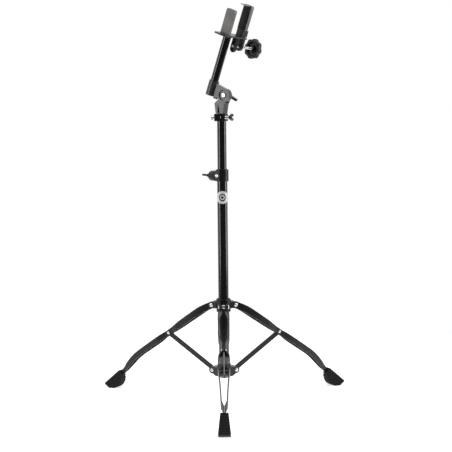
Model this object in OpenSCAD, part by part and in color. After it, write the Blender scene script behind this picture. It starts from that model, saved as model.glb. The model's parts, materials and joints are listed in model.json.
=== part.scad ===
// Double-braced tripod stand with a telescoping column, a tilting rod and a two-jaw block clamp.
// The frame's origin is on the column's axis at floor level, +Z up; one leg points along -Y.

/* [Tripod] */
// Distance from the column's axis to the hub pivots
hub_pivot_r = 32; // [30:1:38]
// Height of the lower hub's pivots
lower_pivot_z = 86; // [80:1:110]
// Distance from the column's axis to the pivots in the middle of the legs
mid_r = 180; // [150:1:190]
// Length of a strut between its pivots, equal to the upper part of a leg
strut_len = 174; // [165:1:200]
// Slope of a leg's straight run, in degrees below level
leg_slope = 34; // [28:1:40]
// Length of the straight run below the middle pivot
leg_lower_run = 135; // [110:1:160]
// Distance from the column's axis to the middle of a foot's contact patch
foot_r = 375; // [350:1:450]
// Thickness of a leg strip
strip_t = 2.8; // [2:0.1:4]
// Width of a leg strip above the middle pivot
strip_upper_w = 18.5; // [14:0.5:22]
// Width of a leg strip below the middle pivot
strip_lower_w = 16; // [13:0.5:20]
// Half width over a leg's two strips where they bow apart
leg_bow = 15.8; // [12:0.2:20]
// Thickness of a strut
strut_t = 3.2; // [2.5:0.1:5]
// Width of a strut
strut_w = 13.5; // [11:0.5:16]
// How far the legs fold up from the open stance, in degrees
fold_travel = 48; // [30:1:50]

/* [Column] */
// Outer diameter of the lower tube
lower_tube_d = 28.6; // [25:0.1:35]
// Wall of both tubes
tube_wall = 1.2; // [1:0.1:2]
// Height of the lower tube's top end
lower_tube_top = 640; // [500:5:800]
// Outer diameter of the upper tube
upper_tube_d = 25.4; // [22:0.1:26]
// Length of the upper tube
upper_tube_len = 520; // [400:5:600]
// Height of the upper tube's top end
upper_tube_top = 786; // [700:1:900]

/* [Tilter and rod] */
// Turn of the tilter about the column, in degrees
tilter_yaw = -35; // [-40:1:40]
// Lean of the rod from upright, in degrees
rod_lean = 20.5; // [0:0.5:35]
// Height of the tilter's pivot above the top of the upper tube
tilter_rise = 60; // [55:1:80]
// Distance from the tilter's pivot to the rod's axis
rod_offset = 48; // [44:1:56]
// Diameter of the tilting rod
rod_d = 22.2; // [19:0.1:25.4]
// Length of the tilting rod
rod_len = 170; // [120:1:220]

/* [Clamp] */
// Turn of the clamp about the rod, in degrees
clamp_yaw = 80; // [-90:1:90]
// Length of the clamp's base plate
plate_len = 94; // [88:1:110]
// Width of the clamp's base plate
plate_w = 40; // [34:1:60]
// Thickness of the base plate
plate_t = 4; // [3:0.5:6]
// Height of the jaws above the base plate
jaw_h = 68; // [50:1:90]
// Width of a jaw
jaw_w = 31; // [24:1:36]
// Depth of a jaw's channel
jaw_depth = 11; // [9:0.5:14]
// Gap between the jaw faces
jaw_gap = 47.5; // [42:0.5:56]
// Diameter of the clamp's star knob
knob_d = 57; // [44:1:64]

/* [Fits] */
// Radial running clearance of the pins in their bores
pin_clear = 0.06; // [0.03:0.01:0.1]
// Clearance between flat or sliding faces that move past each other
face_clear = 0.35; // [0.3:0.05:0.6]

/* [Hidden] */
LEGS = ["front", "right", "left"];

$fn = 48;
eps = 0.01;

// Colours
black = [0.07, 0.07, 0.075];
satin = [0.16, 0.16, 0.17];
grey = [0.5, 0.48, 0.47];
rubber = [0.1, 0.1, 0.1];
chrome = [0.85, 0.86, 0.88];
white = [0.93, 0.93, 0.92];

// Bolt and rivet shanks
pin_r = 3;
rivet_head_r = 4.2;
rivet_head_h = 2.2;

// Column
lower_r = lower_tube_d / 2;
lower_bore_r = lower_r - tube_wall;
upper_r = upper_tube_d / 2;
upper_bore_r = upper_r - tube_wall;

// Lower hub
hub_h = 34;
hub_wall = 4.6;
hub_below_pivot = 16;
ear_r = 9.5;
lower_ear_outer = 13;
low_hub_z = lower_pivot_z - hub_below_pivot;
plug_h = 5;

// Strut rise and the pivots that follow from it
strut_run = mid_r - hub_pivot_r;
strut_rise = sqrt(strut_len * strut_len - strut_run * strut_run);
mid_z = lower_pivot_z + strut_rise;
upper_pivot_z = mid_z + strut_rise;

// Upper hub
upper_hub_h = 34;
upper_hub_below = 17;
liner_t = 2;
liner_r = lower_r + face_clear + liner_t;
upper_hub_wall = 3;
upper_hub_r = liner_r + upper_hub_wall;
upper_hub_z = upper_pivot_z - upper_hub_below;
upper_ear_t = 5;

// Leg sections, as distances out from the middle plane of the leg
mid_outer = strut_t / 2 + face_clear + strip_t;
hub_outer = 7;
upper_ear_in = hub_outer + face_clear;
tang_outer = strip_t + 0.2;
end_w = 13;

// Leg centreline, as [distance from the column's axis, height]
run_dir = [cos(leg_slope), -sin(leg_slope)];
mid_pt = [mid_r, mid_z];
top_pt = [hub_pivot_r, upper_pivot_z];
low_pt = [hub_pivot_r, lower_pivot_z];
top_bend = mid_pt - run_dir * 144;
low_bend = mid_pt + run_dir * leg_lower_run;
boot_top = [foot_r - 32, 46];
foot_dir = (boot_top - low_bend) / norm(boot_top - low_bend);
foot_side = [-foot_dir[1], foot_dir[0]];
tang_end = boot_top + foot_dir * 26;

// Rubber boots, measured along the foot's own direction from the boot's mouth
boot_len = 60;
mouth_half = 11;
mouth_w = 21;
sole_w = 32;
heel_half = 22;
sole_r = 35;
sole_flat = 1;
rib_n = 7;
rib_pitch = 8;
rib_w = 5.4;
groove_depth = 1.5;

// Height clamp on the lower tube
clamp_h = 32;
clamp_z = lower_tube_top - clamp_h + 4;
clamp_wall = 3.4;
bush_flange = 1.6;
clamp_r = lower_r + clamp_wall;
clamp_yaw_z = 35;
lug_x = -27;
lug_y = 9;
lug_r = 14;
lug_slot = 2.4;

// Collar on top of the upper tube
collar_h = 20;
collar_z = upper_tube_top - 10;
collar_r = upper_r + 5;
collar_bolt_y = -upper_r - 7;
collar_bolt_z = collar_z + collar_h / 2;
collar_wing_x = 18.6;
collar_wing_turn = 62;

// Wing nuts: body radius and reach of the small pair
small_nut_r = 5.5;
small_wing_reach = 17;

// Tilter, in its own frame at the pivot
pivot_x = 14;
pivot_z = upper_tube_top + tilter_rise;
fork_in = 5;
fork_out = 11;
fork_disc_r = 19;
rear_disc_r = 14;
pocket_t = 5;
lever_turn = 35;
arm_half = fork_in - face_clear;
bolt_r = 4;
sleeve_r = rod_d / 2 + 3;
sleeve_top = 25;
sleeve_bottom = -16;
rod_bottom = -14;
arm_screw_x = [15, 22];
arm_screw_r = 1.5;
rod_top = rod_bottom + rod_len;

// Block clamp, in its own frame under the base plate
clamp_side = 16.5;
plate_x0 = -54;
jaw_sheet = 2.6;
fixed_face_x = -21.5;
moving_face_x = fixed_face_x + jaw_gap;
screw_z = -26;
screw_r = 3.5;
ring_t = 3;
lug_t = 5;
lug_w = 22;
front_lug_x = 16;
front_lug_drop = 6;
slider_x = moving_face_x - 2;
slider_len = jaw_depth + 10;
slider_w = 24;
neck_w = 12;
neck_len = 8;
neck_x = slider_x + slider_len - neck_len - 1;
slot_x0 = front_lug_x + lug_t + 1;
jaw_base_z = plate_t + face_clear + 18;
lip_len = 19;
lip_w = 20;
screw_x0 = front_lug_x - 4;
knob_x = moving_face_x + 61;
knob_t = 15;
knob_bore = 6;

// Hub lock, badge and collar seat
lock_turn = 90;
lock_z = upper_hub_z + upper_hub_h / 2;
lock_r = 3;
lock_len = 24;
lock_wing_at = 15;
lock_boss_r = 7.5;
lock_boss_len = 9;
hub_bore_len = 40;
badge_z = lower_tube_top - 72;
badge_r = 17.5;
stem_r = 11.5;

function leg_turn(name) = name == "front" ? -90 : name == "right" ? 30 : 150;

// Puts a leg's drawing plane, x outward and y up, upright on the leg's heading
module on_leg(name) {
  rotate([0, 0, leg_turn(name)]) rotate([90, 0, 0]) children();
}

// Cylinder along the drawing plane's normal, centred on the plane
module across(p, r, half) {
  translate([p[0], p[1], -half]) cylinder(r = r, h = 2 * half);
}

function unit(v) = v / norm(v);
function left_of(v) = [-v[1], v[0]];

// Direction of a path at one of its points, halfway between the stretches that meet there
function heading(path, i) =
  i == 0 ? unit(path[1] - path[0])
  : i == len(path) - 1 ? unit(path[i] - path[i - 1])
  : unit(unit(path[i] - path[i - 1]) + unit(path[i + 1] - path[i]));

// Half circle round a point, from the left of a heading to its right by way of the front
function round_end(p, dir, r, steps = 12) =
  [for (k = [1:steps - 1]) let (a = 90 - 180 * k / steps) p + r * (dir * cos(a) + left_of(dir) * sin(a))];

// Points of a bend: the corner between two directions, rounded off over a reach each way
function bend(corner, from, to, reach, steps = 6) =
  [for (k = [0:steps]) let (t = k / steps)
    (corner - from * reach) * (1 - t) * (1 - t) + corner * 2 * t * (1 - t) + (corner + to * reach) * t * t];

// A flat bar's outline along a path, with a width at each point and round ends
function bar_outline(path, widths) = concat(
  [for (i = [0:len(path) - 1]) path[i] + left_of(heading(path, i)) * widths[i] / 2],
  round_end(path[len(path) - 1], heading(path, len(path) - 1), widths[len(path) - 1] / 2),
  [for (i = [len(path) - 1:-1:0]) path[i] - left_of(heading(path, i)) * widths[i] / 2],
  round_end(path[0], -heading(path, 0), widths[0] / 2)
);

// Side outline of a leg strip
module leg_side() {
  top_dir = unit(top_bend - top_pt);
  upper_bend = bend(top_bend, top_dir, run_dir, 26);
  lower_bend = bend(low_bend, run_dir, foot_dir, 22);
  middle = [mid_pt - run_dir * 14, mid_pt, mid_pt + run_dir * 20];
  neck = boot_top - foot_dir * 10;
  path = concat([top_pt], upper_bend, middle, lower_bend, [neck, tang_end]);
  widths = concat(
    [end_w + 1],
    [for (p = upper_bend) strip_upper_w],
    [strip_upper_w - 2, strip_lower_w - 0.5, strip_lower_w],
    [for (p = lower_bend) strip_lower_w],
    [end_w, end_w]
  );
  polygon(bar_outline(path, widths));
}

// Outer edge of a strip seen from above, as [distance from the column's axis, distance from the middle plane]
function bow_line() = [
  [hub_pivot_r - 12, hub_outer],
  [hub_pivot_r + 15, hub_outer],
  [hub_pivot_r + 38, leg_bow - 0.8],
  [hub_pivot_r + 62, leg_bow],
  [mid_r - 44, leg_bow],
  [mid_r - 30, leg_bow - 2],
  [mid_r - 12, mid_outer],
  [mid_r + 10, mid_outer],
  [mid_r + 24, leg_bow - 1.4],
  [mid_r + 34, leg_bow],
  [mid_r + 60, leg_bow],
  [low_bend[0], leg_bow - 4.5],
  [boot_top[0] - 19, leg_bow - 6.8],
  [boot_top[0] - 9, tang_outer],
  [foot_r + 10, tang_outer],
];

module bow2d() {
  line = bow_line();
  back = [for (i = [len(line) - 1:-1:0]) line[i] - [0, strip_t]];
  polygon(concat(line, back));
}

// One strip of a leg; side is 1 or -1
module leg_strip(name, side) {
  color(black) on_leg(name) difference() {
    intersection() {
      translate([0, 0, -leg_bow - 1]) linear_extrude(2 * leg_bow + 2) leg_side();
      mirror([0, 0, side < 0 ? 1 : 0]) rotate([90, 0, 0]) mirror([0, 0, 1])
        linear_extrude(upper_pivot_z + 30) bow2d();
    }
    across(top_pt, pin_r + 1.2, leg_bow);
    across(mid_pt, pin_r, leg_bow);
  }
}

module strut(name) {
  color(black) on_leg(name) difference() {
    translate([0, 0, -strut_t / 2]) linear_extrude(strut_t)
      polygon(bar_outline([low_pt, mid_pt], [strut_w, strut_w]));
    across(low_pt, pin_r + pin_clear, strut_t);
    across(mid_pt, pin_r + pin_clear, strut_t);
  }
}

// Body of a boot, drawn in the leg's plane and shrunk all round by an inset
module boot_body(inset) {
  at_mouth = boot_top + foot_dir * inset / 2;
  intersection() {
    translate([0, 0, -sole_w]) linear_extrude(2 * sole_w) intersection() {
      translate([foot_r, sole_r - sole_flat]) circle(r = sole_r - inset, $fn = 96);
      polygon([
        at_mouth + foot_side * (mouth_half - inset),
        at_mouth - foot_side * (mouth_half - inset),
        boot_top + foot_dir * 12 - foot_side * (heel_half - 4.5 - inset),
        boot_top + foot_dir * 26 - foot_side * (heel_half - inset),
        boot_top + foot_dir * 2 * boot_len - foot_side * (heel_half - inset),
        boot_top + foot_dir * boot_len * 1.4 + foot_side * (heel_half - 1 - inset),
      ]);
    }
    along_foot() rotate([90, 0, 0]) translate([0, 0, -2 * boot_len]) linear_extrude(4 * boot_len) polygon([
      [-boot_len, -mouth_w / 2 + inset],
      [0, -mouth_w / 2 + inset],
      [boot_len, -sole_w / 2 + inset],
      [2 * boot_len, -sole_w / 2 + inset],
      [2 * boot_len, sole_w / 2 - inset],
      [boot_len, sole_w / 2 - inset],
      [0, mouth_w / 2 - inset],
      [-boot_len, mouth_w / 2 - inset],
    ]);
  }
}

// Puts children at the boot's mouth in a leg's plane, with +X down the foot
module along_foot() {
  translate([boot_top[0], boot_top[1], 0]) rotate([0, 0, atan2(foot_dir[1], foot_dir[0])]) children();
}

// Ribbed rubber boot over the end of a leg, flattened where it stands on the floor
module foot(name) {
  color(rubber) on_leg(name) difference() {
    union() {
      boot_body(groove_depth);
      intersection() {
        boot_body(0);
        along_foot() for (i = [0:rib_n])
          translate([i * rib_pitch - 0.5, -boot_len, -boot_len]) cube([rib_w, 2 * boot_len, 2 * boot_len]);
      }
    }
    translate([0, -60, -60]) cube([foot_r + 80, 60, 120]);
    translate([0, 0, -tang_outer]) linear_extrude(2 * tang_outer)
      polygon(bar_outline([boot_top - foot_dir * 8, tang_end], [end_w, end_w]));
  }
}

module top_spacer(name) {
  half = hub_outer - strip_t;
  color(satin) on_leg(name) difference() {
    across(top_pt, 6, half);
    across(top_pt, pin_r + 1.2, half + 1);
  }
}

// Bolt with a domed head and a nut, along a leg pivot
module pivot_bolt(p, shank_r, half, head_r, head_h) {
  across(p, shank_r, half + head_h / 2);
  translate([p[0], p[1], half]) cylinder(r1 = head_r, r2 = head_r * 0.72, h = head_h);
  translate([p[0], p[1], -half - head_h]) cylinder(r1 = head_r * 0.72, r2 = head_r, h = head_h);
}

module top_bolt(name) {
  color(chrome) on_leg(name)
    pivot_bolt(top_pt, pin_r + 1.2 - pin_clear, upper_ear_in + upper_ear_t, 5.4, 3);
}

module mid_rivet(name) {
  color(chrome) on_leg(name) pivot_bolt(mid_pt, pin_r, mid_outer, rivet_head_r, rivet_head_h);
}

module low_bolt(name) {
  color(chrome) on_leg(name) pivot_bolt(low_pt, pin_r, lower_ear_outer, 5, 3);
}

module lower_hub() {
  slot_half = strut_t / 2 + face_clear;
  color(black) difference() {
    union() {
      translate([0, 0, low_hub_z]) cylinder(r = lower_r + hub_wall, h = hub_h);
      for (name = LEGS) on_leg(name) translate([0, 0, -lower_ear_outer]) linear_extrude(2 * lower_ear_outer) {
        translate(low_pt) circle(r = ear_r);
        translate([lower_r, low_pt[1] - ear_r]) square([hub_pivot_r - lower_r, 2 * ear_r]);
        polygon([
          [lower_r, low_pt[1] - ear_r + 1], [lower_r + 1, low_hub_z], [lower_r + 6, low_hub_z],
          [hub_pivot_r - 2, low_pt[1] - ear_r + 0.2],
        ]);
      }
    }
    translate([0, 0, low_hub_z - 1]) cylinder(r = lower_r, h = hub_h + 2);
    for (name = LEGS) on_leg(name) {
      translate([lower_r + hub_wall, low_hub_z - 1, -slot_half])
        cube([hub_pivot_r, hub_h + 2, 2 * slot_half]);
      across(low_pt, pin_r, 3 * lower_ear_outer);
      // Cast pockets on both faces of the ears
      for (s = [-1, 1]) translate([hub_pivot_r + 1, lower_pivot_z - ear_r - 8, s * 7.4 - 1.8])
        cube([12, 8 + ear_r - pin_r - 2.4, 3.6]);
    }
  }
}

// Puts children on the lock screw's axis, starting from the column's axis
module toward_lock() {
  rotate([0, 0, lock_turn]) translate([0, 0, lock_z]) rotate([0, 90, 0]) children();
}

module upper_hub() {
  color(black) difference() {
    union() {
      translate([0, 0, upper_hub_z]) cylinder(r = upper_hub_r, h = upper_hub_h);
      translate([0, 0, upper_hub_z + upper_hub_h - 6]) cylinder(r = upper_hub_r + 2.2, h = 4);
      for (name = LEGS) on_leg(name) for (s = [-1, 1])
        translate([0, 0, s * (upper_ear_in + upper_ear_t / 2) - upper_ear_t / 2])
          linear_extrude(upper_ear_t) {
            translate(top_pt) circle(r = ear_r);
            translate([liner_r, top_pt[1] - ear_r + 0.6]) square([hub_pivot_r - liner_r, 2 * ear_r - 0.6]);
          }
      toward_lock() translate([0, 0, upper_hub_r - 3]) cylinder(r = lock_boss_r, h = lock_boss_len);
    }
    translate([0, 0, upper_hub_z - 1]) cylinder(r = liner_r, h = upper_hub_h + 2);
    for (name = LEGS) on_leg(name) {
      across(top_pt, pin_r + 1.2, hub_bore_len);
      translate([upper_hub_r - 0.5, upper_hub_z - 1, -upper_ear_in])
        cube([hub_pivot_r, upper_hub_h + 2, 2 * upper_ear_in]);
    }
    toward_lock() cylinder(r = lock_r + pin_clear, h = hub_bore_len);
  }
}

module hub_liner() {
  color(rubber) difference() {
    union() {
      translate([0, 0, upper_hub_z]) cylinder(r = liner_r, h = upper_hub_h);
      translate([0, 0, upper_hub_z + upper_hub_h]) cylinder(r = liner_r + 2, h = 1.6);
    }
    translate([0, 0, upper_hub_z - 1]) cylinder(r = lower_r + face_clear, h = upper_hub_h + 4);
    toward_lock() cylinder(r = lock_r + pin_clear, h = hub_bore_len);
  }
}

// Wing screw that locks the sliding hub to the column
module hub_lock_screw() {
  color(chrome) toward_lock() translate([0, 0, lower_r + face_clear]) {
    cylinder(r = lock_r, h = lock_len);
    translate([0, 0, lock_wing_at]) wing_nut(small_nut_r, 8, small_wing_reach, 3);
  }
}

// Wing nut body with two flared wings along its own X axis, standing on its own Z axis
module wing_nut(r, h, reach, t) {
  cylinder(r1 = r, r2 = r * 0.8, h = h);
  for (s = [-1, 1]) rotate([90, 0, 0]) translate([0, 0, -t / 2]) linear_extrude(t) {
    polygon([
      [s * r * 0.3, 0.5],
      [s * reach * 0.72, h * 0.55],
      [s * reach * 0.72, h * 1.5],
      [s * r * 0.3, h],
    ]);
    translate([s * reach * 0.72, h * 1.05]) circle(r = h * 0.52);
  }
}

module lower_tube() {
  color(satin) translate([0, 0, low_hub_z + plug_h]) difference() {
    cylinder(r = lower_r, h = lower_tube_top - low_hub_z - plug_h);
    translate([0, 0, -1]) cylinder(r = lower_bore_r, h = lower_tube_top);
  }
}

// Rounded cap that closes the bottom of the lower tube
module tube_plug() {
  color(rubber) difference() {
    union() {
      translate([0, 0, low_hub_z + 0.5]) cylinder(r = lower_r, h = plug_h - 0.5);
      translate([0, 0, low_hub_z + plug_h - eps]) cylinder(r = lower_bore_r, h = 12);
      translate([0, 0, low_hub_z - 4]) cylinder(r1 = lower_r - 4, r2 = lower_r, h = 4.5);
    }
    translate([0, 0, low_hub_z + 1]) cylinder(r = lower_bore_r - 3, h = 30);
  }
}

// Thin round badge wrapped on the front of the lower tube
module badge() {
  badge_t = 0.5;
  color(white) intersection() {
    translate([0, 0, badge_z - badge_r]) difference() {
      cylinder(r = lower_r + badge_t, h = 2 * badge_r);
      translate([0, 0, -1]) cylinder(r = lower_r, h = 2 * badge_r + 2);
    }
    translate([0, 0, badge_z]) rotate([90, 0, 0]) cylinder(r = badge_r, h = 60);
  }
}

// Split clamp at the top of the lower tube, with two round lugs
module height_clamp() {
  color(black) rotate([0, 0, clamp_yaw_z]) difference() {
    union() {
      translate([0, 0, clamp_z]) cylinder(r = clamp_r, h = clamp_h);
      translate([lug_x, 0, clamp_z + clamp_h / 2]) rotate([90, 0, 0]) {
        translate([0, 0, -lug_y]) cylinder(r = lug_r, h = 2 * lug_y);
        translate([0, 0, -lug_y - 1.6]) cylinder(r = lug_r - 3, h = 2 * lug_y + 3.2);
      }
      translate([lug_x, -lug_y, clamp_z + 2]) cube([-lug_x, 2 * lug_y, clamp_h - 4]);
    }
    translate([0, 0, clamp_z - 1]) cylinder(r = lower_r, h = clamp_h - 3);
    translate([0, 0, clamp_z - 1]) cylinder(r = lower_r - 0.6, h = clamp_h + 3);
    translate([lug_x - lug_r - 1, -lug_slot / 2, clamp_z - 1]) cube([-lug_x + lug_r, lug_slot, clamp_h + 2]);
    translate([lug_x, 0, clamp_z + clamp_h / 2]) rotate([90, 0, 0]) cylinder(r = 3.5, h = 80, center = true);
  }
}

// Plastic liner that guides the upper tube inside the lower tube's mouth
module height_bush() {
  color(rubber) difference() {
    translate([0, 0, lower_tube_top]) union() {
      cylinder(r = lower_r - 0.6, h = 4 + bush_flange);
    }
    translate([0, 0, lower_tube_top - 1]) cylinder(r = upper_r + face_clear, h = 12);
  }
}

module height_bolt() {
  color(chrome) rotate([0, 0, clamp_yaw_z]) translate([lug_x, 0, clamp_z + clamp_h / 2]) rotate([90, 0, 0]) {
    translate([0, 0, -lug_y - 20]) cylinder(r = 3.5 - pin_clear, h = 2 * lug_y + 20 + 1.6);
    translate([0, 0, lug_y + 1.6]) cylinder(r1 = 5.2, r2 = 4, h = 3);
  }
}

// Wing nut that closes the height clamp, behind its lugs
module height_wing() {
  color(black) rotate([0, 0, clamp_yaw_z]) translate([lug_x, lug_y + 2, clamp_z + clamp_h / 2])
    rotate([-90, 0, 0]) rotate([0, 0, 8]) difference() {
      union() {
        cylinder(r = 6.5, h = 9);
        translate([0, 0, 8]) wing_nut(7, 8, 22, 5);
      }
      translate([0, 0, -1]) cylinder(r = 3.5, h = 20);
    }
}

module upper_tube() {
  color(satin) translate([0, 0, upper_tube_top - upper_tube_len]) difference() {
    cylinder(r = upper_r, h = upper_tube_len);
    translate([0, 0, -1]) cylinder(r = upper_bore_r, h = upper_tube_len + 2);
  }
}

// Split collar that holds the tilter on the upper tube
module collar() {
  slot = 2;
  color(black) difference() {
    union() {
      translate([0, 0, collar_z]) cylinder(r = collar_r, h = collar_h);
      translate([-20, collar_bolt_y - 6.5, collar_z]) cube([29, 6.5 - collar_bolt_y, collar_h]);
    }
    translate([0, 0, collar_z - 1]) cylinder(r = upper_r, h = 11);
    translate([0, 0, collar_z - 1]) cylinder(r = stem_r + pin_clear, h = collar_h + 2);
    translate([-4, -40, collar_z - 1]) cube([slot, 40, collar_h + 2]);
    translate([-50, collar_bolt_y, collar_bolt_z]) rotate([0, 90, 0]) cylinder(r = 3, h = 100);
  }
}

module collar_bolt() {
  color(chrome) translate([-20, collar_bolt_y, collar_bolt_z]) rotate([0, 90, 0]) {
    translate([0, 0, -9]) cylinder(r = 3 - pin_clear, h = 54);
    translate([0, 0, -9]) cylinder(r = 5, h = 8.5);
    translate([5, 0, -6]) rotate([90, 0, 0]) cylinder(r = 1.8, h = 22, center = true);
    translate([0, 0, 29.2]) cylinder(r = 4.5, h = 9);
  }
}

module collar_wing() {
  color(black) translate([collar_wing_x, collar_bolt_y, collar_bolt_z])
    rotate([0, 90, 0]) rotate([0, 0, collar_wing_turn]) difference() {
      wing_nut(small_nut_r, 9, small_wing_reach, 3.5);
      translate([0, 0, -1]) cylinder(r = pin_r, h = 20);
    }
}

// Puts children in the tilter's frame: the origin on its pivot, Y along the pivot bolt
module at_tilter() {
  rotate([0, 0, tilter_yaw]) translate([pivot_x, 0, pivot_z]) children();
}

// Puts children in the rod's frame: the origin level with the pivot, +Z up the rod's axis
module at_rod() {
  at_tilter() rotate([0, rod_lean, 0]) translate([-rod_offset, 0, 0]) children();
}

// Puts children in the clamp's frame: the origin under the base plate, X along the clamp screw
module at_clamp() {
  at_rod() translate([0, 0, rod_top]) rotate([0, 0, clamp_yaw]) translate([0, -clamp_side, 0]) children();
}

// Cylinder along Y between two values of y
module along_y(r, y0, y1) {
  translate([0, y1, 0]) rotate([90, 0, 0]) cylinder(r = r, h = y1 - y0);
}

// Lower half of the tilter: a fork whose two discs carry the pivot bolt
module tilter_fork() {
  floor_z = collar_z + collar_h + face_clear - pivot_z;
  waist_z = -fork_disc_r - 6;
  color(satin) at_tilter() difference() {
    union() {
      along_y(fork_disc_r, -fork_out, -fork_in);
      along_y(rear_disc_r, fork_in, fork_out);
      translate([0, fork_out, 0]) rotate([90, 0, 0]) linear_extrude(2 * fork_out) polygon([
        [-pivot_x - 12, floor_z], [-pivot_x - 16, waist_z + 4], [-rear_disc_r + 2, -7],
        [rear_disc_r - 2, -7], [16 - pivot_x, waist_z], [12 - pivot_x, floor_z],
      ]);
      translate([-pivot_x, 0, upper_tube_top - pivot_z]) cylinder(r = stem_r, h = collar_h - 9);
    }
    // Room for the arm between the discs
    translate([-60, -fork_in, waist_z + 4]) cube([120, 2 * fork_in, 80]);
    along_y(bolt_r + pin_clear, -40, 40);
    // Recess around the bolt's head on the front disc, and a shallow one behind
    along_y(fork_disc_r - 4, -fork_out - 1, -fork_out + 3.5);
    along_y(rear_disc_r - 3, fork_out - 1.5, fork_out + 1);
    // Wedge pockets in both outer faces
    for (s = [-1, 1]) translate([0, s * (fork_out + 1) + (s < 0 ? pocket_t : 0), 0])
      rotate([90, 0, 0]) linear_extrude(pocket_t)
        polygon([
          [-pivot_x - 5, -fork_disc_r - 2],
          [-pivot_x - 5.5, floor_z + 2],
          [-pivot_x + 3, floor_z + 2],
        ]);
  }
}

module tilter_bolt() {
  color(chrome) at_tilter() {
    along_y(bolt_r, -fork_out + 2, fork_out + 15);
    translate([0, -fork_out + 3.5, 0]) rotate([90, 0, 0]) cylinder(r1 = 6.6, r2 = 5.4, h = 4);
  }
}

// Wing nut behind the tilter
module tilter_lever() {
  color(black) at_tilter() translate([0, fork_out + 0.4, 0])
    rotate([-90, 0, 0]) rotate([0, 0, lever_turn]) difference() {
      wing_nut(8, 11, 28, 5.5);
      translate([0, 0, -1]) cylinder(r = bolt_r + pin_clear, h = 30);
    }
}

// Upper half of the tilter: a disc between the fork's discs, and a sleeve around the rod
module tilter_arm() {
  color(satin) at_tilter() rotate([0, rod_lean, 0]) difference() {
    union() {
      along_y(fork_disc_r - 1, -arm_half, arm_half);
      translate([-rod_offset, 0, sleeve_bottom]) cylinder(r = sleeve_r, h = sleeve_top - sleeve_bottom);
      translate([0, arm_half, 0]) rotate([90, 0, 0]) linear_extrude(2 * arm_half)
        polygon([[-rod_offset, sleeve_top - 4], [-4, 17.5], [0, 0], [-6, -17], [-rod_offset, sleeve_bottom]]);
    }
    translate([-rod_offset, 0, rod_bottom]) cylinder(r = rod_d / 2, h = 60);
    along_y(bolt_r + pin_clear, -20, 20);
    for (x = arm_screw_x) translate([x - rod_offset, 0, sleeve_bottom - 4]) cylinder(r = arm_screw_r, h = 9);
    // Slanted foot of the sleeve
    translate([-rod_offset - sleeve_r - 8, -30, sleeve_bottom + 2]) rotate([0, 28, 0]) translate([-4, 0, -30])
      cube([30, 60, 30]);
  }
}

// Two small screws under the arm that hold the rod in its sleeve
module arm_screws() {
  color(black) at_rod() for (x = arm_screw_x) translate([x, 0, sleeve_bottom - 4.6]) {
    cylinder(r = 2.8, h = 3.5);
    cylinder(r = arm_screw_r, h = 9);
  }
}

module rod() {
  color(satin) at_rod() translate([0, 0, rod_bottom]) difference() {
    cylinder(r = rod_d / 2, h = rod_len);
    translate([0, 0, 3]) cylinder(r = rod_d / 2 - 1.5, h = rod_len);
  }
}

// Flanged boss that joins the rod to the base plate
module rod_boss() {
  color(black) at_clamp() translate([0, clamp_side, 0]) {
    difference() {
      translate([0, 0, -6]) cylinder(r = rod_d / 2 + 3, h = 6);
      translate([0, 0, -7]) cylinder(r = rod_d / 2, h = 8);
    }
  }
}

module base_plate() {
  corner = 6;
  color(satin) at_clamp() difference() {
    linear_extrude(plate_t) difference() {
      translate([plate_x0, -plate_w / 2]) square([plate_len, plate_w]);
      // Slot that the moving jaw's neck runs in
      translate([slot_x0, -neck_w / 2 - face_clear]) square([plate_len, neck_w + 2 * face_clear]);
      for (s = [-1, 1]) translate([plate_x0, s * plate_w / 2]) rotate(45) square(corner * 1.4, center = true);
    }
  }
}

// A pressed channel with its open side towards +X, standing on the plate
module jaw_channel() {
  top_r = 6;
  intersection() {
    difference() {
      translate([-jaw_depth, -jaw_w / 2, 0]) cube([jaw_depth, jaw_w, jaw_h]);
      translate([-jaw_depth + jaw_sheet, -jaw_w / 2 + jaw_sheet, -1])
        cube([jaw_depth, jaw_w - 2 * jaw_sheet, jaw_h - jaw_sheet + 1]);
    }
    translate([-jaw_depth - 1, 0, 0]) rotate([90, 0, 90]) linear_extrude(jaw_depth + 2) {
      translate([-jaw_w / 2, 0]) square([jaw_w, jaw_h - top_r]);
      translate([-jaw_w / 2 + top_r, 0]) square([jaw_w - 2 * top_r, jaw_h]);
      for (s = [-1, 1]) translate([s * (jaw_w / 2 - top_r), jaw_h - top_r]) circle(r = top_r);
    }
  }
}

module fixed_jaw() {
  color(grey) at_clamp() translate([fixed_face_x, 0, plate_t]) jaw_channel();
}

// Rubber face inside a jaw's channel, standing a little proud of its edges
module jaw_pad(h) {
  pad_t = jaw_depth - jaw_sheet + 0.8;
  translate([-pad_t + 0.8, -jaw_w / 2 + jaw_sheet, 0]) cube([pad_t, jaw_w - 2 * jaw_sheet, h - jaw_sheet]);
}

module fixed_pad() {
  color(rubber) at_clamp() translate([fixed_face_x, 0, plate_t]) jaw_pad(jaw_h);
}

module moving_pad() {
  color(rubber) at_clamp() translate([moving_face_x, 0, jaw_base_z]) mirror([1, 0, 0]) jaw_pad(jaw_h);
}

// Moving jaw: the same channel turned round, with a lip over the top that hooks the block
module moving_jaw() {
  color(grey) at_clamp() translate([moving_face_x, 0, jaw_base_z]) mirror([1, 0, 0]) {
    jaw_channel();
    translate([-jaw_sheet, -lip_w / 2, jaw_h - jaw_sheet])
      cube([lip_len + jaw_sheet, lip_w, jaw_sheet * 0.8]);
  }
}

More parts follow.
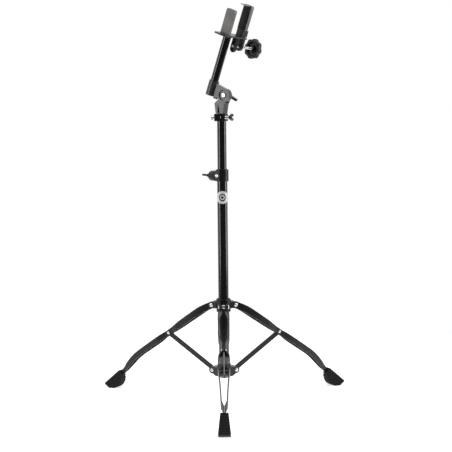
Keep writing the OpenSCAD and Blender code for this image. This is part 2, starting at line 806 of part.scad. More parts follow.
// Block under the moving jaw: it slides on the plate, and its neck carries the nut below
module jaw_slider() {
  color(satin) at_clamp() difference() {
    union() {
      translate([slider_x, -slider_w / 2, plate_t + face_clear])
        cube([slider_len, slider_w, jaw_base_z - plate_t - face_clear]);
      translate([neck_x, -neck_w / 2, -face_clear - 1])
        cube([neck_len, neck_w, plate_t + 2 * face_clear + 2]);
      translate([neck_x, 0, 0]) lug_plate(neck_len, slider_w - 2, 0);
    }
    translate([slider_x - 5, 0, screw_z]) rotate([0, 90, 0]) cylinder(r = screw_r + pin_clear, h = 40);
  }
}

// Upright plate below the base plate with a round foot, centred on the clamp screw
module lug_plate(t, w, drop) {
  translate([0, 0, screw_z]) rotate([90, 0, 90]) linear_extrude(t) {
    translate([-w / 2, -drop]) square([w, drop - screw_z - face_clear]);
    translate([0, -drop]) circle(d = w);
  }
}

// Fixed lug welded under the plate, with the plain hole for the screw's tail
module front_lug() {
  color(satin) at_clamp() difference() {
    union() {
      translate([front_lug_x, 0, 0]) lug_plate(lug_t, lug_w, front_lug_drop);
      translate([front_lug_x, -lug_w / 2, -face_clear - eps]) cube([lug_t, lug_w, face_clear + eps]);
    }
    translate([front_lug_x - 5, 0, screw_z]) rotate([0, 90, 0]) cylinder(r = screw_r + pin_clear, h = 40);
  }
}

module clamp_screw() {
  color(chrome) at_clamp() translate([screw_x0, 0, screw_z]) rotate([0, 90, 0]) {
    cylinder(r = screw_r, h = knob_x - screw_x0 + knob_bore);
  }
}

// Ring on the screw that pushes the moving jaw's lug
module screw_collar() {
  color(chrome) at_clamp() translate([neck_x + neck_len + face_clear, 0, screw_z])
    rotate([0, 90, 0]) difference() {
      cylinder(r = screw_r + 2.4, h = ring_t);
      translate([0, 0, -1]) cylinder(r = screw_r, h = ring_t + 3);
    }
}

// Star knob with a hollow back and rounded lobes
module knob() {
  lobes = 8;
  lobe_r = 6.4;
  rim_r = knob_d / 2 - lobe_r;
  color(black) at_clamp() translate([knob_x, 0, screw_z]) rotate([0, 90, 0]) difference() {
    union() {
      cylinder(r = rim_r + 1.5, h = knob_t);
      translate([0, 0, knob_t - 1]) cylinder(r1 = rim_r - 1, r2 = rim_r - 8, h = 4);
      for (i = [0:lobes - 1]) rotate([0, 0, i * 360 / lobes]) translate([rim_r, 0, 0]) {
        translate([0, 0, 1.2]) cylinder(r = lobe_r, h = knob_t - 2.4);
        translate([0, 0, 0.4]) cylinder(r = lobe_r - 1, h = knob_t - 0.8);
      }
    }
    // Hollow back around a central boss
    translate([0, 0, -1]) difference() {
      cylinder(r = rim_r - 3, h = knob_t - 3);
      cylinder(r = screw_r + 4, h = knob_t);
    }
    translate([0, 0, -1]) cylinder(r = screw_r, h = knob_bore + 1);
  }
}

lower_tube();
tube_plug();
lower_hub();
badge();
upper_hub();
hub_liner();
hub_lock_screw();
for (leg = LEGS) {
  leg_strip(leg, 1);
  leg_strip(leg, -1);
  strut(leg);
  foot(leg);
  top_spacer(leg);
  top_bolt(leg);
  mid_rivet(leg);
  low_bolt(leg);
}
height_clamp();
height_bush();
height_bolt();
height_wing();
upper_tube();
collar();
collar_bolt();
collar_wing();
tilter_fork();
tilter_bolt();
tilter_lever();
tilter_arm();
arm_screws();
rod();
rod_boss();
base_plate();
fixed_jaw();
fixed_pad();
moving_jaw();
moving_pad();
jaw_slider();
front_lug();
clamp_screw();
screw_collar();
knob();
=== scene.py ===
import json
import math
import bpy
import bmesh
from mathutils import Matrix, Vector


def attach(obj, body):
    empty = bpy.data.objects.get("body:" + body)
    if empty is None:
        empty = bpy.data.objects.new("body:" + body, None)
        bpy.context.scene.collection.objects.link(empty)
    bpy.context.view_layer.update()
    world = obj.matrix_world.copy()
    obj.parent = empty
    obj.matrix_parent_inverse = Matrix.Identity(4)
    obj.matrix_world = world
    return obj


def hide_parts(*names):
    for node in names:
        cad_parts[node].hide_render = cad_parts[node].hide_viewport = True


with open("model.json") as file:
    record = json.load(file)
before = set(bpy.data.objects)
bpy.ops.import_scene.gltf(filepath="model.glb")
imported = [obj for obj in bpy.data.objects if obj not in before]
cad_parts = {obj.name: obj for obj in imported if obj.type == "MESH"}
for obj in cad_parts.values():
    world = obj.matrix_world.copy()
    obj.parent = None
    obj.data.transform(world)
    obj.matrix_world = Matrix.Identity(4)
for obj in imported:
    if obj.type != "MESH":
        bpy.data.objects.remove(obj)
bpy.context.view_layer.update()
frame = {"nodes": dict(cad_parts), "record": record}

record = frame["record"]
bodyOfNode = {node: body for body, nodes in record["behaviour"]["bodies"].items() for node in nodes}
jointByName = {joint["name"]: joint for joint in record["behaviour"]["joints"]}
slotOfNode = {part["node"]: part["material_slot"] for part in record["subparts"]}
legs = ["front", "right", "left"]
mm = 0.001


cameraSettings = {
    "place": (0.009, -3.3, 0.786),
    "pitchDown": 5.15,
    "roll": 0.6,
    "lens": 95.97,
}


def makeCamera(s):
    data = bpy.data.cameras.new("standCamera")
    data.lens = s["lens"]
    data.sensor_width = 36.0
    data.clip_end = 60.0
    camera = bpy.data.objects.new("standCamera", data)
    aim = Matrix.Rotation(math.radians(90 - s["pitchDown"]), 4, "X")
    roll = Matrix.Rotation(math.radians(-s["roll"]), 4, "Z")
    camera.matrix_world = Matrix.Translation(s["place"]) @ aim @ roll
    bpy.context.scene.collection.objects.link(camera)
    bpy.context.scene.camera = camera


studioSettings = {
    "floorRadius": 1.05,
    "floorCentre": (0.0, 0.28),
    "floorSides": 96,
    "floorColor": (0.9, 0.9, 0.9, 1.0),
    "floorGlow": 0.62,
    "backdrop": 1.0,
    "frontRoom": 0.06,
    "backRoom": 0.95,
    "roomBlend": (-0.35, 0.75),
    "softboxes": [
        # name, place, aim, width, height, watts
        ("leftBox", (-2.2, -1.0, 1.1), (0.0, 0.0, 0.6), 0.5, 2.2, 22.0),
        ("rightBox", (2.4, -0.4, 1.1), (0.0, 0.0, 0.6), 0.6, 2.2, 26.0),
        ("topBox", (0.0, -0.9, 3.0), (0.0, 0.0, 0.4), 2.4, 1.6, 30.0),
    ],
}


# The room is white to look at; what it casts on the stand is dim in front and bright behind
def makeRoom(s):
    world = bpy.data.worlds.new("softRoom")
    world.use_nodes = True
    tree = world.node_tree
    shine = tree.nodes["Background"]
    shine.inputs["Color"].default_value = (1.0, 1.0, 1.0, 1.0)
    split = tree.nodes.new("ShaderNodeSeparateXYZ")
    tree.links.new(tree.nodes.new("ShaderNodeTexCoord").outputs["Generated"], split.inputs[0])
    depth = tree.nodes.new("ShaderNodeMapRange")
    depth.interpolation_type = "SMOOTHSTEP"
    depth.inputs["From Min"].default_value, depth.inputs["From Max"].default_value = s["roomBlend"]
    depth.inputs["To Min"].default_value = s["frontRoom"]
    depth.inputs["To Max"].default_value = s["backRoom"]
    tree.links.new(split.outputs["Y"], depth.inputs["Value"])
    seen = tree.nodes.new("ShaderNodeMix")
    seen.inputs[3].default_value = s["backdrop"]
    tree.links.new(tree.nodes.new("ShaderNodeLightPath").outputs["Is Camera Ray"], seen.inputs[0])
    tree.links.new(depth.outputs["Result"], seen.inputs[2])
    tree.links.new(seen.outputs[0], shine.inputs["Strength"])
    bpy.context.scene.world = world


def makeStudio(s):
    mesh = bpy.data.meshes.new("paleFloor")
    turns = [i * math.tau / s["floorSides"] for i in range(s["floorSides"])]
    rim = [(
        s["floorCentre"][0] + s["floorRadius"] * math.cos(turn),
        s["floorCentre"][1] + s["floorRadius"] * math.sin(turn),
        0.0,
    ) for turn in turns]
    mesh.from_pydata(rim, [], [tuple(range(s["floorSides"]))])
    floor = bpy.data.objects.new("paleFloor", mesh)
    bpy.context.scene.collection.objects.link(floor)
    paper = bpy.data.materials.new("palePaper")
    paper.use_nodes = True
    shader = paper.node_tree.nodes["Principled BSDF"]
    shader.inputs["Base Color"].default_value = s["floorColor"]
    shader.inputs["Roughness"].default_value = 0.9
    shader.inputs["Specular IOR Level"].default_value = 0.1
    shader.inputs["Emission Color"].default_value = (1.0, 1.0, 1.0, 1.0)
    shader.inputs["Emission Strength"].default_value = s["floorGlow"]
    mesh.materials.append(paper)
    makeRoom(s)
    for name, place, aim, width, height, watts in s["softboxes"]:
        data = bpy.data.lights.new(name, "AREA")
        data.shape = "RECTANGLE"
        data.size = width
        data.size_y = height
        data.energy = watts
        light = bpy.data.objects.new(name, data)
        light.location = place
        light.rotation_euler = (Vector(aim) - Vector(place)).to_track_quat("-Z", "Y").to_euler()
        bpy.context.scene.collection.objects.link(light)
    bpy.context.scene.view_settings.view_transform = "Standard"


makeCamera(cameraSettings)
makeStudio(studioSettings)
print("camera and studio ready")


def newGroup(name, inputs, outputs):
    group = bpy.data.node_groups.new(name, "ShaderNodeTree")
    for socketName, kind, value in inputs:
        socket = group.interface.new_socket(socketName, in_out="INPUT", socket_type=kind)
        if value is not None:
            socket.default_value = value
    for socketName, kind in outputs:
        group.interface.new_socket(socketName, in_out="OUTPUT", socket_type=kind)
    return group, group.nodes.new("NodeGroupInput"), group.nodes.new("NodeGroupOutput")


def mathNode(tree, operation, a, b, clamp=False):
    node = tree.nodes.new("ShaderNodeMath")
    node.operation = operation
    node.use_clamp = clamp
    for index, value in enumerate((a, b)):
        if isinstance(value, (int, float)):
            node.inputs[index].default_value = value
        else:
            tree.links.new(value, node.inputs[index])
    return node.outputs[0]


def rampNode(tree, value, low, high):
    node = tree.nodes.new("ShaderNodeMapRange")
    node.inputs["From Min"].default_value = low
    node.inputs["From Max"].default_value = high
    tree.links.new(value, node.inputs["Value"])
    return node.outputs["Result"]


def noiseNode(tree, vector, scale, detail, roughness=0.55):
    node = tree.nodes.new("ShaderNodeTexNoise")
    node.inputs["Detail"].default_value = detail
    node.inputs["Roughness"].default_value = roughness
    if isinstance(scale, (int, float)):
        node.inputs["Scale"].default_value = scale
    else:
        tree.links.new(scale, node.inputs["Scale"])
    tree.links.new(vector, node.inputs["Vector"])
    return node.outputs["Fac"]


def positionOf(tree):
    return tree.nodes.new("ShaderNodeTexCoord").outputs["Object"]


# Fine skin of paint, plastic or rubber: a height for Bump and a slow drift of tone
def makeGrainGroup():
    group, given, result = newGroup(
        "surfaceGrain",
        [("Scale", "NodeSocketFloat", 900.0), ("Patch Scale", "NodeSocketFloat", 14.0)],
        [("Height", "NodeSocketFloat"), ("Tone", "NodeSocketFloat")],
    )
    place = positionOf(group)
    fine = noiseNode(group, place, given.outputs["Scale"], 3.0)
    patches = noiseNode(group, place, given.outputs["Patch Scale"], 4.0, 0.6)
    group.links.new(fine, result.inputs["Height"])
    group.links.new(rampNode(group, patches, 0.3, 0.7), result.inputs["Tone"])
    return group


# Worn rims and painted edge highlights: a mask that is 1 on sharp outer edges, broken up by noise; the
# lighter colour it lays on is partly real wear and partly a painted highlight where edges catch the light
def makeWearAndHighlightGroup():
    group, given, result = newGroup(
        "edgeWearAndHighlight",
        [("Amount", "NodeSocketFloat", 0.5), ("Width", "NodeSocketFloat", 0.0006)],
        [("Mask", "NodeSocketFloat")],
    )
    place = positionOf(group)
    rounded = group.nodes.new("ShaderNodeBevel")
    rounded.samples = 4
    group.links.new(given.outputs["Width"], rounded.inputs["Radius"])
    facing = group.nodes.new("ShaderNodeNewGeometry")
    dot = group.nodes.new("ShaderNodeVectorMath")
    dot.operation = "DOT_PRODUCT"
    group.links.new(rounded.outputs["Normal"], dot.inputs[0])
    group.links.new(facing.outputs["Normal"], dot.inputs[1])
    edge = rampNode(group, mathNode(group, "SUBTRACT", 1.0, dot.outputs["Value"]), 0.02, 0.2)
    broken = rampNode(group, noiseNode(group, place, 160.0, 5.0, 0.7), 0.42, 0.62)
    patchy = mathNode(group, "MULTIPLY", edge, broken)
    mask = mathNode(group, "MULTIPLY", patchy, given.outputs["Amount"], True)
    group.links.new(mask, result.inputs["Mask"])
    return group


# Thin dust that settles on what faces up
def makeDustGroup():
    group, given, result = newGroup(
        "settledDust",
        [("Amount", "NodeSocketFloat", 0.2)],
        [("Mask", "NodeSocketFloat")],
    )
    place = positionOf(group)
    split = group.nodes.new("ShaderNodeSeparateXYZ")
    group.links.new(group.nodes.new("ShaderNodeNewGeometry").outputs["Normal"], split.inputs[0])
    upward = rampNode(group, split.outputs["Z"], 0.35, 1.0)
    specks = rampNode(group, noiseNode(group, place, 70.0, 6.0, 0.75), 0.35, 0.75)
    patchy = mathNode(group, "MULTIPLY", upward, specks)
    mask = mathNode(group, "MULTIPLY", patchy, given.outputs["Amount"], True)
    group.links.new(mask, result.inputs["Mask"])
    return group


surfaceGrain = makeGrainGroup()
edgeWearAndHighlight = makeWearAndHighlightGroup()
settledDust = makeDustGroup()


def placeGroup(tree, group, **values):
    node = tree.nodes.new("ShaderNodeGroup")
    node.node_tree = group
    for name, value in values.items():
        node.inputs[name.replace("_", " ")].default_value = value
    return node


def mixColor(tree, factor, a, b):
    node = tree.nodes.new("ShaderNodeMix")
    node.data_type = "RGBA"
    tree.links.new(factor, node.inputs[0])
    for socket, value in ((node.inputs[6], a), (node.inputs[7], b)):
        if isinstance(value, tuple):
            socket.default_value = value
        else:
            tree.links.new(value, socket)
    return node.outputs[2]


def rgba(level, warm=0.0):
    return (level * (1 + warm), level, level * (1 - warm), 1.0)


# What every finish shares: the colour and dullness of dust, and how deep the grain can go
skinSettings = {"dustColor": rgba(0.42, 0.03), "dustDullness": 0.4, "grainDepth": 0.0004}

# One dictionary per finish; makeFinish turns each into its own material
# Each finish's edge amount and edge colour lighten its sharp edges: partly worn paint, partly a painted
# highlight
finishes = {
    "column_black": {
        "base": rgba(0.005), "light": rgba(0.008), "metallic": 0.0, "specular": 0.55,
        "rough": (0.12, 0.17), "coat": 0.5, "coatRough": 0.12,
        "grain": 700.0, "patch": 6.0, "bump": 0.004,
        "wearAndHighlight": 0.15, "wearAndHighlightColor": rgba(0.16), "dust": 0.01,
    },
    "cast_black": {
        "base": rgba(0.007), "light": rgba(0.013), "metallic": 0.0, "specular": 0.32,
        "rough": (0.24, 0.4), "coat": 0.2, "coatRough": 0.3,
        "grain": 420.0, "patch": 26.0, "bump": 0.05,
        "wearAndHighlight": 0.6, "wearAndHighlightColor": rgba(0.3), "dust": 0.015,
    },
    "cast_grey": {
        "base": rgba(0.05, 0.02), "light": rgba(0.075, 0.02), "metallic": 0.4, "specular": 0.5,
        "rough": (0.26, 0.4), "coat": 0.4, "coatRough": 0.25,
        "grain": 380.0, "patch": 30.0, "bump": 0.05,
        "wearAndHighlight": 0.6, "wearAndHighlightColor": rgba(0.5), "dust": 0.02,
    },
    "strip_black": {
        "base": rgba(0.005), "light": rgba(0.009), "metallic": 0.0, "specular": 0.28,
        "rough": (0.28, 0.4), "coat": 0.2, "coatRough": 0.25,
        "grain": 560.0, "patch": 18.0, "bump": 0.04,
        "wearAndHighlight": 0.45, "wearAndHighlightColor": rgba(0.26), "dust": 0.01,
    },
    # The chrome's base is a bright diffuse white at a lowered metallic, a painted reflection: the heads look
    # white under the front light instead of mirroring the room
    "bolt_chrome": {
        "base": rgba(0.84), "light": rgba(0.9), "metallic": 0.65, "specular": 0.5,
        "rough": (0.2, 0.34), "coat": 0.0, "coatRough": 0.1,
        "grain": 300.0, "patch": 60.0, "bump": 0.02,
        "wearAndHighlight": 0.2, "wearAndHighlightColor": rgba(0.6), "dust": 0.03,
    },
    "spacer_steel": {
        "base": rgba(0.4), "light": rgba(0.5), "metallic": 1.0, "specular": 0.5,
        "rough": (0.3, 0.45), "coat": 0.0, "coatRough": 0.1,
        "grain": 500.0, "patch": 60.0, "bump": 0.05,
        "wearAndHighlight": 0.2, "wearAndHighlightColor": rgba(0.6), "dust": 0.03,
    },
    "foot_rubber": {
        "base": rgba(0.006), "light": rgba(0.013), "metallic": 0.0, "specular": 0.22,
        "rough": (0.6, 0.78), "coat": 0.0, "coatRough": 0.5,
        "grain": 620.0, "patch": 30.0, "bump": 0.16,
        "wearAndHighlight": 0.5, "wearAndHighlightColor": rgba(0.05), "dust": 0.02,
    },
    "liner_plastic": {
        "base": rgba(0.009), "light": rgba(0.015), "metallic": 0.0, "specular": 0.45,
        "rough": (0.42, 0.55), "coat": 0.0, "coatRough": 0.4,
        "grain": 500.0, "patch": 40.0, "bump": 0.06,
        "wearAndHighlight": 0.2, "wearAndHighlightColor": rgba(0.06), "dust": 0.01,
    },
    "badge_white": {
        "base": rgba(0.8), "light": rgba(0.86), "metallic": 0.0, "specular": 0.5,
        "rough": (0.2, 0.3), "coat": 0.7, "coatRough": 0.08,
        "grain": 240.0, "patch": 30.0, "bump": 0.01,
        "wearAndHighlight": 0.0, "wearAndHighlightColor": rgba(0.8), "dust": 0.03,
    },
    "plate_black": {
        "base": rgba(0.014), "light": rgba(0.028), "metallic": 0.2, "specular": 0.5,
        "rough": (0.28, 0.42), "coat": 0.3, "coatRough": 0.2,
        "grain": 520.0, "patch": 24.0, "bump": 0.07,
        "wearAndHighlight": 0.7, "wearAndHighlightColor": rgba(0.42), "dust": 0.06,
    },
    "jaw_grey": {
        "base": rgba(0.17, 0.03), "light": rgba(0.23, 0.03), "metallic": 0.3, "specular": 0.5,
        "rough": (0.34, 0.5), "coat": 0.15, "coatRough": 0.3,
        "grain": 640.0, "patch": 22.0, "bump": 0.08,
        "wearAndHighlight": 0.6, "wearAndHighlightColor": rgba(0.5), "dust": 0.04,
    },
    "pad_rubber": {
        "base": rgba(0.008), "light": rgba(0.014), "metallic": 0.0, "specular": 0.35,
        "rough": (0.6, 0.75), "coat": 0.0, "coatRough": 0.5,
        "grain": 760.0, "patch": 40.0, "bump": 0.14,
        "wearAndHighlight": 0.3, "wearAndHighlightColor": rgba(0.05), "dust": 0.1,
    },
    "knob_black": {
        "base": rgba(0.009), "light": rgba(0.018), "metallic": 0.0, "specular": 0.5,
        "rough": (0.34, 0.5), "coat": 0.1, "coatRough": 0.3,
        "grain": 520.0, "patch": 34.0, "bump": 0.14,
        "wearAndHighlight": 0.5, "wearAndHighlightColor": rgba(0.12), "dust": 0.06,
    },
}


def makeFinish(name, s):
    material = bpy.data.materials.new(name)
    material.use_nodes = True
    tree = material.node_tree
    shader = tree.nodes["Principled BSDF"]
    grain = placeGroup(tree, surfaceGrain, Scale=s["grain"], Patch_Scale=s["patch"])
    # The lighter edge colour is partly worn paint and partly a painted highlight laid on every sharp edge
    wearAndHighlight = placeGroup(tree, edgeWearAndHighlight, Amount=s["wearAndHighlight"])
    dust = placeGroup(tree, settledDust, Amount=s["dust"])
    color = mixColor(tree, grain.outputs["Tone"], s["base"], s["light"])
    color = mixColor(tree, wearAndHighlight.outputs["Mask"], color, s["wearAndHighlightColor"])
    color = mixColor(tree, dust.outputs["Mask"], color, skinSettings["dustColor"])
    tree.links.new(color, shader.inputs["Base Color"])
    spread = s["rough"][1] - s["rough"][0]
    rough = mathNode(tree, "ADD", mathNode(tree, "MULTIPLY", grain.outputs["Tone"], spread), s["rough"][0])
    dulled = mathNode(tree, "MULTIPLY", dust.outputs["Mask"], skinSettings["dustDullness"])
    rough = mathNode(tree, "ADD", rough, dulled, True)
    tree.links.new(rough, shader.inputs["Roughness"])
    bump = tree.nodes.new("ShaderNodeBump")
    bump.inputs["Strength"].default_value = s["bump"]
    bump.inputs["Distance"].default_value = skinSettings["grainDepth"]
    tree.links.new(grain.outputs["Height"], bump.inputs["Height"])
    tree.links.new(bump.outputs["Normal"], shader.inputs["Normal"])
    shader.inputs["Metallic"].default_value = s["metallic"]
    shader.inputs["Coat Weight"].default_value = s["coat"]
    shader.inputs["Coat Roughness"].default_value = s["coatRough"]
    shader.inputs["Specular IOR Level"].default_value = s["specular"]
    return material


materials = {name: makeFinish(name, s) for name, s in finishes.items()}
print("finishes ready:", len(materials))


def addPiece(name, bm, slotName, body, nodes=(), smooth=38, flatten=True):
    bmesh.ops.recalc_face_normals(bm, faces=bm.faces)
    mesh = bpy.data.meshes.new(name)
    bm.to_mesh(mesh)
    bm.free()
    mesh.polygons.foreach_set("use_smooth", [True] * len(mesh.polygons))
    mesh.set_sharp_from_angle(angle=math.radians(smooth))
    mesh.materials.append(materials[slotName])
    piece = bpy.data.objects.new(name, mesh)
    bpy.context.scene.collection.objects.link(piece)
    if flatten:
        weighted = piece.modifiers.new("flatFaces", "WEIGHTED_NORMAL")
        weighted.keep_sharp = True
    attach(piece, body)
    if nodes:
        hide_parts(*nodes)
    return piece


# Rows of points, each row closed round; neighbouring rows are joined by quads
def skinRows(bm, rows, closedEnds=True, loop=False):
    made = [[bm.verts.new(point) for point in row] for row in rows]
    for low, high in zip(made, made[1:] + (made[:1] if loop else [])):
        count = len(low)
        for i in range(count):
            bm.faces.new((low[i], low[(i + 1) % count], high[(i + 1) % count], high[i]))
    if closedEnds and not loop:
        bm.faces.new(made[0][::-1])
        bm.faces.new(made[-1])
    return made


# A weld bead: a lumpy tube laid along a path of points
def weldBead(name, path, radius, lump, body, slotName, closed):
    count = len(path)
    turns = [a * math.tau / 10 for a in range(10)]
    rows = []
    for i, point in enumerate(path):
        ahead = path[(i + 1) % count] if closed or i + 1 < count else point
        behind = path[i - 1] if closed or i > 0 else point
        along = (ahead - behind).normalized()
        side = along.orthogonal() if abs(along.z) > 0.9 else along.cross(Vector((0, 0, 1)))
        side.normalize()
        up = side.cross(along).normalized()
        size = radius * (1 + lump * math.cos(i * math.tau / 4))
        rows.append([point + side * size * math.cos(turn) + up * size * math.sin(turn) for turn in turns])
    bm = bmesh.new()
    skinRows(bm, rows, closedEnds=not closed, loop=closed)
    return addPiece(name, bm, slotName, body, smooth=80, flatten=False)


# Rounding in millimetres for each node; a name's start matches its whole family
roundingSettings = {
    "default": (0.4, 2),
    "lower_tube": (0.9, 3),
    "upper_tube": (0.9, 3),
    "rod": (0.7, 3),
    "rod_boss": (1.0, 3),
    "tube_plug": (1.0, 3),
    "lower_hub": (0.7, 3),
    "upper_hub": (0.7, 3),
    "hub_liner": (0.5, 2),
    "strip_": (0.55, 3),
    "strut_": (0.6, 3),
    "foot_": (0.9, 3),
    "height_clamp": (0.8, 3),
    "height_wing": (0.8, 3),
    "collar": (0.9, 3),
    "collar_wing": (0.7, 3),
    "tilter_fork": (0.8, 3),
    "tilter_arm": (0.8, 3),
    "tilter_lever": (0.7, 3),
    "base_plate": (1.2, 4),
    "fixed_jaw": (0.9, 3),
    "moving_jaw": (0.9, 3),
    "fixed_pad": (0.6, 3),
    "moving_pad": (0.6, 3),
    "jaw_slider": (0.9, 3),
    "front_lug": (0.8, 3),
    "badge": (0.15, 2),
}
edgeSettings = {"weld": 0.04, "flatAngle": 0.6, "sharpAngle": 32.0}
boltFamilies = ["top_bolt_", "mid_rivet_", "low_bolt_"]
ownMeshes = ["knob", "clamp_screw"] + [family + leg for family in boltFamilies for leg in legs]


def roundingOf(node):
    if node in roundingSettings:
        return roundingSettings[node]
    for family, value in roundingSettings.items():
        if family.endswith("_") and node.startswith(family):
            return value
    return roundingSettings["default"]


def roundedCopy(node):
    width, segments = roundingOf(node)
    bm = bmesh.new()
    bm.from_mesh(frame["nodes"][node].data)
    bmesh.ops.remove_doubles(bm, verts=bm.verts, dist=edgeSettings["weld"] * mm)
    flat = math.radians(edgeSettings["flatAngle"])
    bmesh.ops.dissolve_limit(bm, angle_limit=flat, verts=bm.verts, edges=bm.edges)
    limit = math.radians(edgeSettings["sharpAngle"])
    sharp = [edge for edge in bm.edges if edge.is_manifold and edge.calc_face_angle(0) > limit]
    bmesh.ops.bevel(
        bm, geom=sharp, offset=width * mm, offset_type="OFFSET", segments=segments, profile=0.5,
        affect="EDGES", clamp_overlap=True, miter_outer="SHARP",
    )
    return addPiece(node + "_finished", bm, slotOfNode[node], bodyOfNode[node], [node])


for node in sorted(frame["nodes"]):
    frame["nodes"][node].data.materials.clear()
    frame["nodes"][node].data.materials.append(materials[slotOfNode[node]])
    if node not in ownMeshes:
        roundedCopy(node)
print("rounded nodes:", len(frame["nodes"]) - len(ownMeshes))


# The clamp's own frame: millimetres and degrees from the column's axis to the middle of its base plate
clampSettings = {
    "yaw": -35.0,
    "pivot": (14.0, 0.0, 846.0),
    "lean": 20.5,
    "rodOffset": 48.0,
    "rodTop": 156.0,
    "turn": 80.0,
    "side": 16.5,
}


def turned(degrees, axis):
    return Matrix.Rotation(math.radians(degrees), 4, axis)


def moved(place):
    return Matrix.Translation(Vector(place) * mm)


def clampFrame(s):
    toPivot = turned(s["yaw"], "Z") @ moved(s["pivot"])
    alongRod = turned(s["lean"], "Y") @ moved((-s["rodOffset"], 0, s["rodTop"]))
    return toPivot @ alongRod @ turned(s["turn"], "Z") @ moved((0, -s["side"], 0))


inClamp = clampFrame(clampSettings)


# Lowest and highest coordinate of a CAD node along each axis of another frame
def spanInFrame(node, matrix):
    back = matrix.inverted()
    points = [back @ vertex.co for vertex in frame["nodes"][node].data.vertices]
    return [(min(p[i] for p in points), max(p[i] for p in points)) for i in range(3)]


# Thread of the clamp screw; endShare is how much of the radius is left at its chamfered tips
screwSettings = {
    "pitch": 1.5,
    "depth": 0.55,
    "perTurn": 6,
    "around": 28,
    "endShare": 0.72,
    "endLength": 1.2,
}


def clampScrew(s):
    (x0, x1), (y0, y1), (z0, z1) = spanInFrame("clamp_screw", inClamp)
    outer = (y1 - y0) / 2
    centreZ = (z0 + z1) / 2
    step = s["pitch"] * mm / s["perTurn"]
    rings = int((x1 - x0) / step)
    rows = []
    for i in range(rings + 1):
        x = min(x0 + i * step, x1)
        fromEnd = min(x - x0, x1 - x)
        chamfer = min(1.0, s["endShare"] + (1 - s["endShare"]) * fromEnd / (s["endLength"] * mm))
        row = []
        for k in range(s["around"]):
            angle = k * math.tau / s["around"]
            phase = ((x - x0) / (s["pitch"] * mm) - k / s["around"]) % 1.0
            groove = s["depth"] * mm * abs(2 * phase - 1)
            radius = (outer - groove) * chamfer
            row.append(inClamp @ Vector((x, radius * math.cos(angle), centreZ + radius * math.sin(angle))))
        rows.append(row)
    bm = bmesh.new()
    skinRows(bm, rows)
    node, body = "clamp_screw", bodyOfNode["clamp_screw"]
    return addPiece("clamp_screw_threaded", bm, "bolt_chrome", body, [node], smooth=60, flatten=False)


clampScrew(screwSettings)

knobSettings = {
    "lobes": 8,
    "around": 128,
    # Rings from the boss at the back, round the rim, to the front:
    # mean radius, lobe height and distance from the back
    "rings": [
        (3.7, 0.0, 0.5), (6.9, 0.0, 0.3), (7.4, 0.0, 0.8), (7.5, 0.0, 10.2), (8.6, 0.0, 11.4),
        (17.4, 0.0, 11.5), (18.7, 0.0, 10.4), (19.0, 0.0, 1.3), (19.4, 0.05, 0.5), (20.9, 0.3, 0.1),
        (24.6, 1.1, 0.25), (26.2, 1.4, 1.0), (26.9, 1.5, 2.6), (27.0, 1.5, 7.5), (26.9, 1.5, 12.2),
        (26.4, 1.4, 13.7), (25.0, 1.1, 14.8), (22.0, 0.6, 15.4), (18.5, 0.15, 16.3), (15.4, 0.0, 17.2),
        (13.4, 0.0, 17.8), (12.6, 0.0, 17.9), (12.2, 0.0, 17.3), (3.0, 0.0, 17.2),
    ],
}


def starKnob(s):
    (x0, x1), (y0, y1), (z0, z1) = spanInFrame("knob", inClamp)
    centreY, centreZ = (y0 + y1) / 2, (z0 + z1) / 2
    rows = []
    for radius, lobe, depth in s["rings"]:
        row = []
        for k in range(s["around"]):
            angle = k * math.tau / s["around"]
            r = (radius + lobe * math.cos(s["lobes"] * angle)) * mm
            across, up = centreY + r * math.cos(angle), centreZ + r * math.sin(angle)
            row.append(inClamp @ Vector((x0 + depth * mm, across, up)))
        rows.append(row)
    bm = bmesh.new()
    skinRows(bm, rows)
    return addPiece("knob_moulded", bm, "knob_black", bodyOfNode["knob"], ["knob"], smooth=50, flatten=False)


starKnob(knobSettings)

beadSettings = {
    "lump": 0.12,
    "spacing": 1.1,
    "rodBead": 1.3,
    "rodRadius": 11.1,
    "bossBottom": -6.0,
    "lugBead": 0.9,
    "lugInset": 1.5,
    "lugBelow": 0.4,
}


def ringPath(centre, radius, spacing):
    count = max(12, 4 * round(math.tau * radius / spacing / 4))
    turns = [i * math.tau / count for i in range(count)]
    return [inClamp @ (centre + Vector((math.cos(turn), math.sin(turn), 0)) * radius) for turn in turns]


def linePath(start, end, spacing):
    count = max(4, round((end - start).length / spacing))
    return [inClamp @ start.lerp(end, i / count) for i in range(count + 1)]


def clampBeads(s):
    spacing = s["spacing"] * mm
    body = bodyOfNode["rod"]
    centre = Vector((0, clampSettings["side"], s["bossBottom"])) * mm
    around = ringPath(centre, s["rodRadius"] * mm, spacing)
    weldBead("rod_weld", around, s["rodBead"] * mm, s["lump"], body, "plate_black", True)
    (x0, x1), (y0, y1), (z0, z1) = spanInFrame("front_lug", inClamp)
    inset, height = s["lugInset"] * mm, z1 - s["lugBelow"] * mm
    for name, x in (("lug_weld_inner", x0), ("lug_weld_outer", x1)):
        path = linePath(Vector((x, y0 + inset, height)), Vector((x, y1 - inset, height)), spacing)
        weldBead(name, path, s["lugBead"] * mm, s["lump"], body, "plate_black", False)


clampBeads(beadSettings)
print("clamp pieces ready")


# A ring and a dot wrapped on the badge: each is a pair of an inner and an outer radius
markSettings = {
    "rings": [(7.0, 10.2), (0.0, 3.6)],
    "smallest": 0.05,
    "steps": 5,
    "around": 72,
    "centreZ": 568.0,
    "surface": 14.84,
    "sunk": -0.02,
    "raised": 0.06,
}


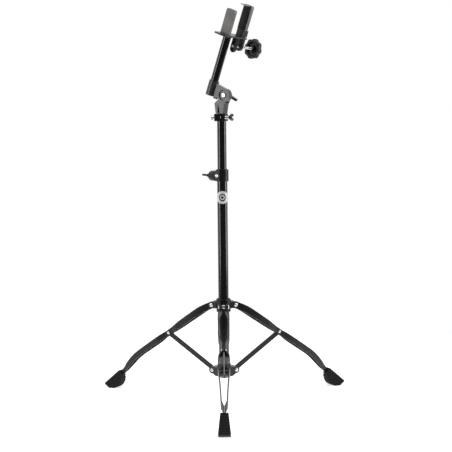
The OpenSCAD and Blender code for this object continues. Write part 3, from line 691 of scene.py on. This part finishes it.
def badgeMark(s):
    bm = bmesh.new()
    surface = s["surface"] * mm
    for inner, outer in s["rings"]:
        shares = [i / s["steps"] for i in range(s["steps"] + 1)]
        radii = [max(inner + (outer - inner) * share, s["smallest"]) for share in shares]
        rows = []
        for layer, height in ((radii, s["sunk"]), (radii[::-1], s["raised"])):
            for radius in layer:
                lift = surface + height * mm
                row = []
                for k in range(s["around"]):
                    angle = k * math.tau / s["around"]
                    turn = radius * mm * math.cos(angle) / surface
                    up = (s["centreZ"] + radius * math.sin(angle)) * mm
                    row.append(Vector((lift * math.sin(turn), -lift * math.cos(turn), up)))
                rows.append(row)
        skinRows(bm, rows, closedEnds=False, loop=True)
    return addPiece("badge_mark", bm, "liner_plastic", bodyOfNode["badge"], smooth=60, flatten=False)


badgeMark(markSettings)

# Bolt heads and nuts: each ring has a share of the head's height, a share of its radius, and its outline
boltSettings = {
    "around": 48,
    "boltShank": 2.9,
    "rivetShank": 2.4,
    "socketHead": [
        (0.0, 1.0, "round"), (0.3, 1.0, "round"), (0.55, 0.95, "round"), (0.8, 0.8, "round"),
        (0.95, 0.6, "round"), (1.0, 0.5, "round"), (1.0, 0.4, "hex"), (0.4, 0.4, "hex"),
        (0.36, 0.1, "round"),
    ],
    "domeHead": [
        (0.0, 1.0, "round"), (0.16, 1.0, "round"), (0.3, 0.97, "round"), (0.55, 0.87, "round"),
        (0.78, 0.68, "round"), (0.92, 0.46, "round"), (0.97, 0.34, "round"), (0.95, 0.28, "round"),
        (0.98, 0.2, "round"), (1.0, 0.06, "round"),
    ],
    "nut": [
        (0.0, 1.0, "round"), (0.16, 1.0, "round"), (0.2, 0.97, "round"), (0.2, 0.86, "chamfer"),
        (0.28, 0.94, "hex"), (0.74, 0.94, "hex"), (0.82, 0.86, "chamfer"), (0.84, 0.6, "round"),
        (0.95, 0.58, "round"), (0.98, 0.5, "round"), (0.98, 0.46, "round"), (1.0, 0.42, "round"),
        (1.0, 0.05, "round"),
    ],
}


# A head's radius at an angle: round, a hexagon, or a hexagon whose corners are turned off
def profileRadius(share, kind, angle):
    if kind == "round":
        return share
    halfSide = math.pi / 6
    flat = share * math.cos(halfSide) / math.cos((angle + halfSide) % (2 * halfSide) - halfSide)
    return flat if kind == "hex" else min(flat, share)


def ringAt(x, radii, turns):
    return [Vector((x, r * math.cos(turn), r * math.sin(turn))) for r, turn in zip(radii, turns)]


# A bolt or rivet round the X axis of its own frame, in place of the plain one
def makeBolt(node, toBolt, shankRadius, ends, s):
    (x0, x1), (y0, y1), (z0, z1) = spanInFrame(node, toBolt)
    headRadius = (y1 - y0) / 2
    turns = [k * math.tau / s["around"] for k in range(s["around"])]
    back = toBolt.inverted()
    wide = [
        (back @ vertex.co).x for vertex in frame["nodes"][node].data.vertices
        if (back @ vertex.co).yz.length > 0.9 * headRadius
    ]
    faces = (max(x for x in wide if x < 0), min(x for x in wide if x > 0))
    rows = []
    for end, faceX, tipX in ((0, faces[0], x0), (1, faces[1], x1)):
        rings = [ringAt(faceX, [shankRadius] * len(turns), turns)]
        for height, share, kind in s[ends[end]]:
            radii = [headRadius * profileRadius(share, kind, turn) for turn in turns]
            rings.append(ringAt(faceX + (tipX - faceX) * height, radii, turns))
        rows += rings if end else rings[::-1]
    bm = bmesh.new()
    skinRows(bm, [[toBolt @ point for point in row] for row in rows])
    slotName, body = slotOfNode[node], bodyOfNode[node]
    return addPiece(node + "_turned", bm, slotName, body, [node], smooth=42, flatten=False)


def boltFrame(place, axis):
    along = Vector(axis).normalized()
    up = Vector((0, 0, 1))
    turn = Matrix((along, up, along.cross(up))).transposed().to_4x4()
    return Matrix.Translation(Vector(place)) @ turn


def legBolts(leg, s):
    low = jointByName["strut_fold_" + leg]["pos_m"]
    middle = jointByName["leg_fold_" + leg]["pos_m"]
    # The bolt at the top hub stands as far above the middle pivot as the lower one stands below it
    top = [low[0], low[1], 2 * middle[2] - low[2]]
    axis = jointByName["strut_fold_" + leg]["axis"]
    bolt, rivet = s["boltShank"] * mm, s["rivetShank"] * mm
    makeBolt("low_bolt_" + leg, boltFrame(low, axis), bolt, ("socketHead", "nut"), s)
    makeBolt("mid_rivet_" + leg, boltFrame(middle, axis), rivet, ("domeHead", "domeHead"), s)
    makeBolt("top_bolt_" + leg, boltFrame(top, axis), bolt, ("socketHead", "nut"), s)


for leg in legs:
    legBolts(leg, boltSettings)
print("bolts ready")
